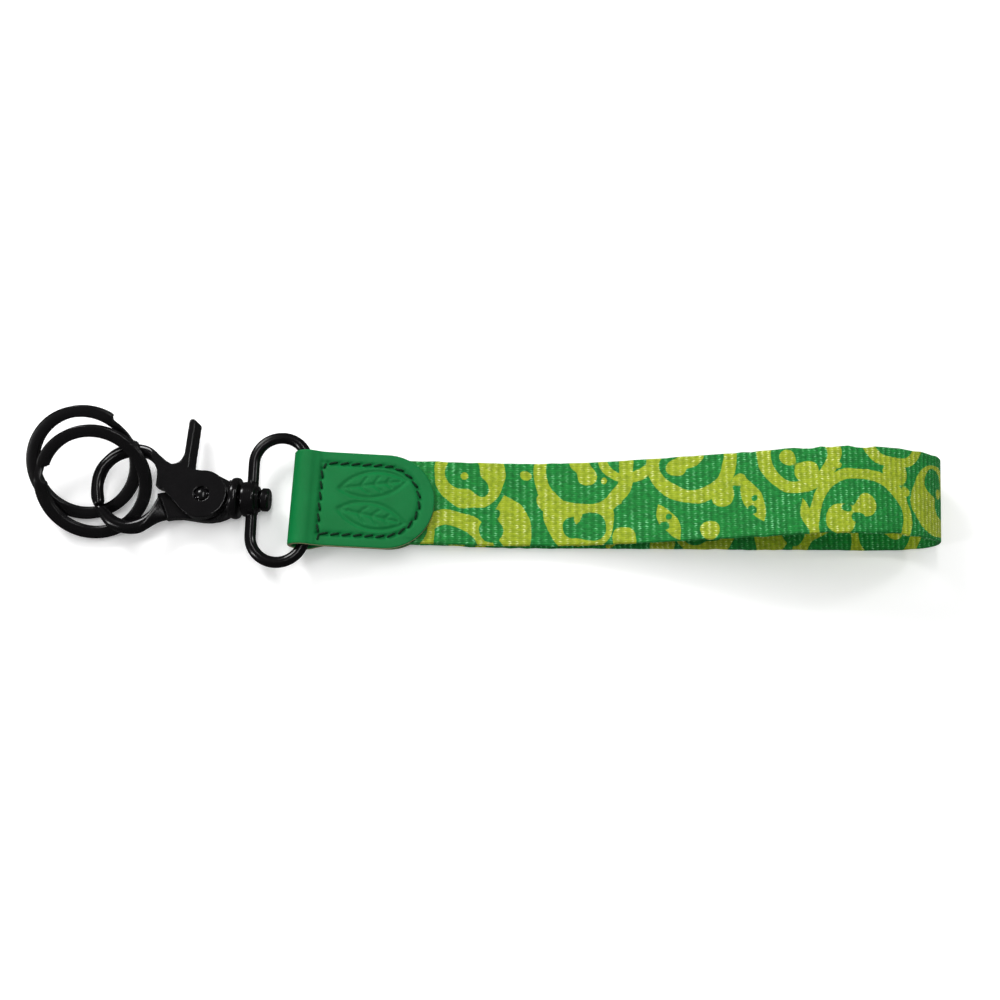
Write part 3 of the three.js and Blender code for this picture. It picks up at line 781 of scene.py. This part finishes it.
def jaw(outer, inner, root_z, root_half, flat_from, flat_over):
    """A round bar between two outlines that flattens into its plate at the root."""
    count = 60
    a, _ = spaced(catmull(outer), count=count)
    b, _ = spaced(catmull(inner), count=count)
    rings = []
    for i in range(count):
        t = i / (count - 1)
        melt = np.clip((t - flat_from) / flat_over, 0, 1) ** 1.5
        half = 1.85 * (1 - melt) + root_half * melt
        z = root_z * melt
        square = 1.0 - 0.45 * melt
        middle, reach = (a[i] + b[i]) / 2, (a[i] - b[i]) / 2
        dull = 1.0 if i > 1 else (0.86, 0.96)[i]
        rings.append([(*(middle + reach * dull * np.sign(c) * abs(c) ** square),
                       z + half * dull * np.sign(d) * abs(d) ** square) for c, d in circle(28)])
    return loft(rings)


def bead(start, end, radius, inner):
    """A turned collar with a rounded rim, bored through."""
    half = (end - start) / 2
    rim = [(radius - half * 0.42 * (1 - math.cos(a)), (start + end) / 2 + half * math.sin(a))
           for a in np.linspace(-math.pi / 2, math.pi / 2, 9)]
    return lathe([(inner, start), *rim, (inner, end)], "x")


def hook_body():
    plate = [(-13.7, 0.4), (-12.0, 0.8), (-8.8, 2.0), (-6.2, 4.2), (-3.2, 6.4), (0.4, 7.3),
             (3.9, 6.7), (6.4, 5.6), (8.7, 4.3), (8.7, -4.7), (7.1, -5.9), (5.2, -6.7), (2.7, -7.2),
             (0.2, -7.2), (-2.4, -6.9), (-5.5, -6.6), (-8, -6.8), (-9.9, -7.2), (-12.4, -6.0)]
    neck = [(7.7, -4.9), (8.8, -4.6), (8.8, 4.3), (7.7, 4.7)]
    parts = [
        jaw(LOWER_OUTER, LOWER_INNER, -1.2, 1.8, 0.72, 0.28),
        prism(plate, -3.0, -1.95, RIVET_HOLE),
        prism(plate, -2.0, -0.15, SPRING_POCKET),
        prism(neck, -3.0, 3.0),
        bead(8.5, 10.8, 6.1, 2.45),
    ]
    cast("hook_body_cast", parts, "hook", "hook_body", HOOK)


def thumb_blade():
    """The thumb lever: a tall blade whose front is narrower than its back, with a round top."""
    rings = []
    for v, back_right, front_right in ((6.8, -3.5, -4.5), (8.2, -3.7, -4.75), (11, -3.8, -4.85),
                                       (16, -3.8, -4.8), (19.9, -3.8, -4.75)):
        rings.append([(-6.62, v, -1.4), (back_right, v, -1.4), (front_right, v, 3.0), (-6.6, v, 3.0)])
    for a in np.linspace(0.05, 1.45, 9):
        c, h = math.cos(a), math.sin(a)
        back, front = 22.05 + 1.35 * h, 22.3 + 0.92 * h
        rings.append([(-5.21 - 1.41 * c, back, -1.4), (-5.21 + 1.41 * c, back, -1.4),
                      (-5.66 + 0.92 * c, front, 3.0), (-5.66 - 0.94 * c, front, 3.0)])
    return loft(rings)


def trigger_lever():
    web = [(-13.6, 1.7), (-12.4, 1.1), (-11.4, 0.9), (-5.2, -5.0), (0, -6.5), (5, -4.5), (6.5, 0),
           (5.5, 4.5), (3, 6.4), (-1.0, 7.2), (-4.2, 7.5), (-5.2, 8.6), (-6.6, 12.2), (-7.0, 10.8),
           (-7.7, 9.7), (-8.7, 9.0), (-9.9, 8.7), (-11.6, 9.6), (-13.4, 11.0), (-15.1, 12.2),
           (-16.3, 12.4), (-16.2, 10.2), (-15.0, 8.6), (-13.9, 6.6), (-13.6, 4.4)]
    face = circle(72, 7.25)
    parts = [
        jaw(UPPER_OUTER, UPPER_INNER, 1.55, 1.42, 0.55, 0.28),
        prism(web, 0.15, 1.65, SPRING_POCKET),
        prism(web, 1.6, 3.0, RIVET_HOLE),
        prism(face, 0.15, 1.65, SPRING_POCKET),
        prism(face, 1.6, 3.0, RIVET_HOLE),
        thumb_blade(),
    ]
    cast("trigger_lever_cast", parts, "lever", "trigger_lever", HOOK, smoothing=10)


def turned_piece(name, profile, axis, body, node, material):
    """A turned pin, from (radius, distance) pairs that start and end on the axis."""
    closed = [(max(r, 0.01), d) for r, d in profile]
    verts, faces = lathe(closed, axis, 56)
    piece = make(name, verts, faces, body, node, material, HOOK)
    bevel = piece.modifiers.new("soft edges", "BEVEL")
    bevel.width = 0.12 * MM
    bevel.segments = 3
    bevel.limit_method = "ANGLE"
    baked(piece)
    piece.data.set_sharp_from_angle(angle=math.radians(40))


def swivel_pin():
    turned_piece("swivel_pin_turned", [
        (0, 8.8), (2.1, 8.8), (2.1, 16.4), (2.3, 16.7), (2.3, 17.1), (3.1, 17.1), (3.4, 17.4),
        (3.4, 18.9), (2.9, 19.45), (1.2, 19.5), (0, 19.35)], "x", "hook", "swivel_pin", PIN_BLACK)


def pivot_rivet():
    dome = [(1.9 * math.cos(a), 2.2 + 0.95 * math.sin(a)) for a in np.linspace(0, math.pi / 2, 9)]
    turned_piece("pivot_rivet_turned", [
        (0, -3.0), (1.6, -3.0), (1.9, -2.8), (1.9, -2.3), (1.3, -2.3), (1.3, 2.2), *dome],
        "z", "hook", "pivot_rivet", PIN_BLACK)


# ---- Split key rings -----------------------------------------------------------------------
def split_ring(name, body, bridge_degrees, span_degrees, centre, rise, full_side):
    """A flat wire wound nearly twice round. It steps from one coil to the other over span_degrees,
    about bridge_degrees. The step is narrower, and full_side, 1 outside or -1 inside, keeps the
    coil's line."""
    bridge = math.radians(span_degrees)
    start = math.radians(bridge_degrees) + bridge / 2
    total = 4 * math.pi - bridge
    radius = RING_OUTER - RING_WIDTH / 2
    x, y, cut = RING_WIDTH / 2, RING_THICK / 2, 0.38
    section = []
    for sx, sy, first in ((1, 1, 0), (-1, 1, 90), (-1, -1, 180), (1, -1, 270)):
        for degrees in (0, 30, 60, 90):
            a = math.radians(first + degrees)
            section.append((sx * (x - cut) + cut * math.cos(a), sy * (y - cut) + cut * math.sin(a)))
    rings = []
    count = 320
    for i in range(count + 1):
        wound = total * i / count
        angle = start + wound
        step = np.clip((wound - 2 * math.pi + bridge) / bridge, 0, 1)
        height = RING_RISE * (2 * step * step * (3 - 2 * step) - 1)
        slim = 1 - 0.36 * np.clip(min(step, 1 - step) / 0.10, 0, 1)
        near = min(i, count - i)
        small = (0.86, 0.96, 1.0)[min(near, 2)]
        ca, sa = math.cos(angle), math.sin(angle)
        middle = radius + full_side * x * (1 - slim)
        rings.append([((middle + a * small * slim) * ca, (middle + a * small * slim) * sa,
                       height + b * small) for a, b in section])
    normal = Vector((-rise[0], -rise[1], 1)).normalized()
    turn = Vector((0, 0, 1)).rotation_difference(normal)
    place = Matrix.Translation(centre) @ turn.to_matrix().to_4x4()
    verts, faces = loft(rings)
    ring = make(name + "_wire", verts, faces, body, name, RING_BLACK, place)
    ring.data.set_sharp_from_angle(angle=math.radians(50))


# ---- Floor, light and camera ---------------------------------------------------------------
def floor_sheet():
    reach, below = 4, -0.00005
    corners = [(-reach, -reach), (reach, -reach), (reach, reach), (-reach, reach)]
    mesh = bpy.data.meshes.new("floor")
    mesh.from_pydata([(x, y, below) for x, y in corners], [], [(0, 1, 2, 3)])
    obj = bpy.data.objects.new("floor", mesh)
    bpy.context.scene.collection.objects.link(obj)
    mesh.materials.append(floor_material())
    obj.visible_glossy = False
    return obj


def softbox(name, position, size, power, glossy=True):
    light = bpy.data.lights.new(name, "AREA")
    light.shape = "RECTANGLE"
    light.size, light.size_y = size
    light.energy = power
    obj = bpy.data.objects.new(name, light)
    obj.location = position
    obj.rotation_euler = (-Vector(position)).to_track_quat("-Z", "Y").to_euler()
    obj.visible_glossy = glossy
    bpy.context.scene.collection.objects.link(obj)


def stage_light():
    scene = bpy.context.scene
    scene.view_settings.view_transform = "Standard"
    world = bpy.data.worlds.new("studio")
    world.use_nodes = True
    world.node_tree.nodes["Background"].inputs["Color"].default_value = (1, 1, 1, 1)
    world.node_tree.nodes["Background"].inputs["Strength"].default_value = 0.06
    scene.world = world
    softbox("overhead", (0.0, 0.05, 0.75), (1.5, 1.3), 5.0, glossy=False)
    softbox("window", (-0.35, 0.60, 0.42), (0.25, 0.25), 2.8, glossy=False)
    softbox("strip", (0.0, 0.12, 0.62), (0.05, 0.5), 1.0)
    softbox("key", (-0.46, 0.50, 0.46), (0.2, 0.2), 2.4)
    softbox("fill", (0.62, 0.34, 0.40), (0.12, 0.12), 1.0)
    softbox("left", (-0.70, -0.25, 0.45), (0.08, 0.4), 1.3)


def camera():
    tilt, distance, half_view = math.radians(15.5), 0.345, math.radians(23.27)
    target = SHIFT * MM
    target.z = 0
    data = bpy.data.cameras.new("camera")
    data.sensor_width = 36
    data.lens = 18 / math.tan(half_view)
    data.clip_start = 0.01
    obj = bpy.data.objects.new("camera", data)
    back = Vector((0, -math.sin(tilt), math.cos(tilt)))
    obj.location = target + back * distance
    obj.rotation_euler = back.to_track_quat("Z", "Y").to_euler()
    bpy.context.scene.collection.objects.link(obj)
    bpy.context.scene.camera = obj


camera()
floor = floor_sheet()
stage_light()
webbing()
leather_tab()
stitches("needle_stitches", "needle_thread", 1)
stitches("bobbin_stitches", "bobbin_thread", -1)
oval_ring()
hook_body()
trigger_lever()
swivel_pin()
pivot_rivet()
split_ring("split_ring_lower", "lower_ring", 39, 36, (-121.3, 9.2, 8.14), (-0.01, 0.465), -1)
split_ring("split_ring_upper", "upper_ring", 170, 20, (-118, 3, 8.92), (-0.05, 0.53), 1)
for material_slot in frame["nodes"]["torsion_spring"].material_slots:
    material_slot.material = spring_material()
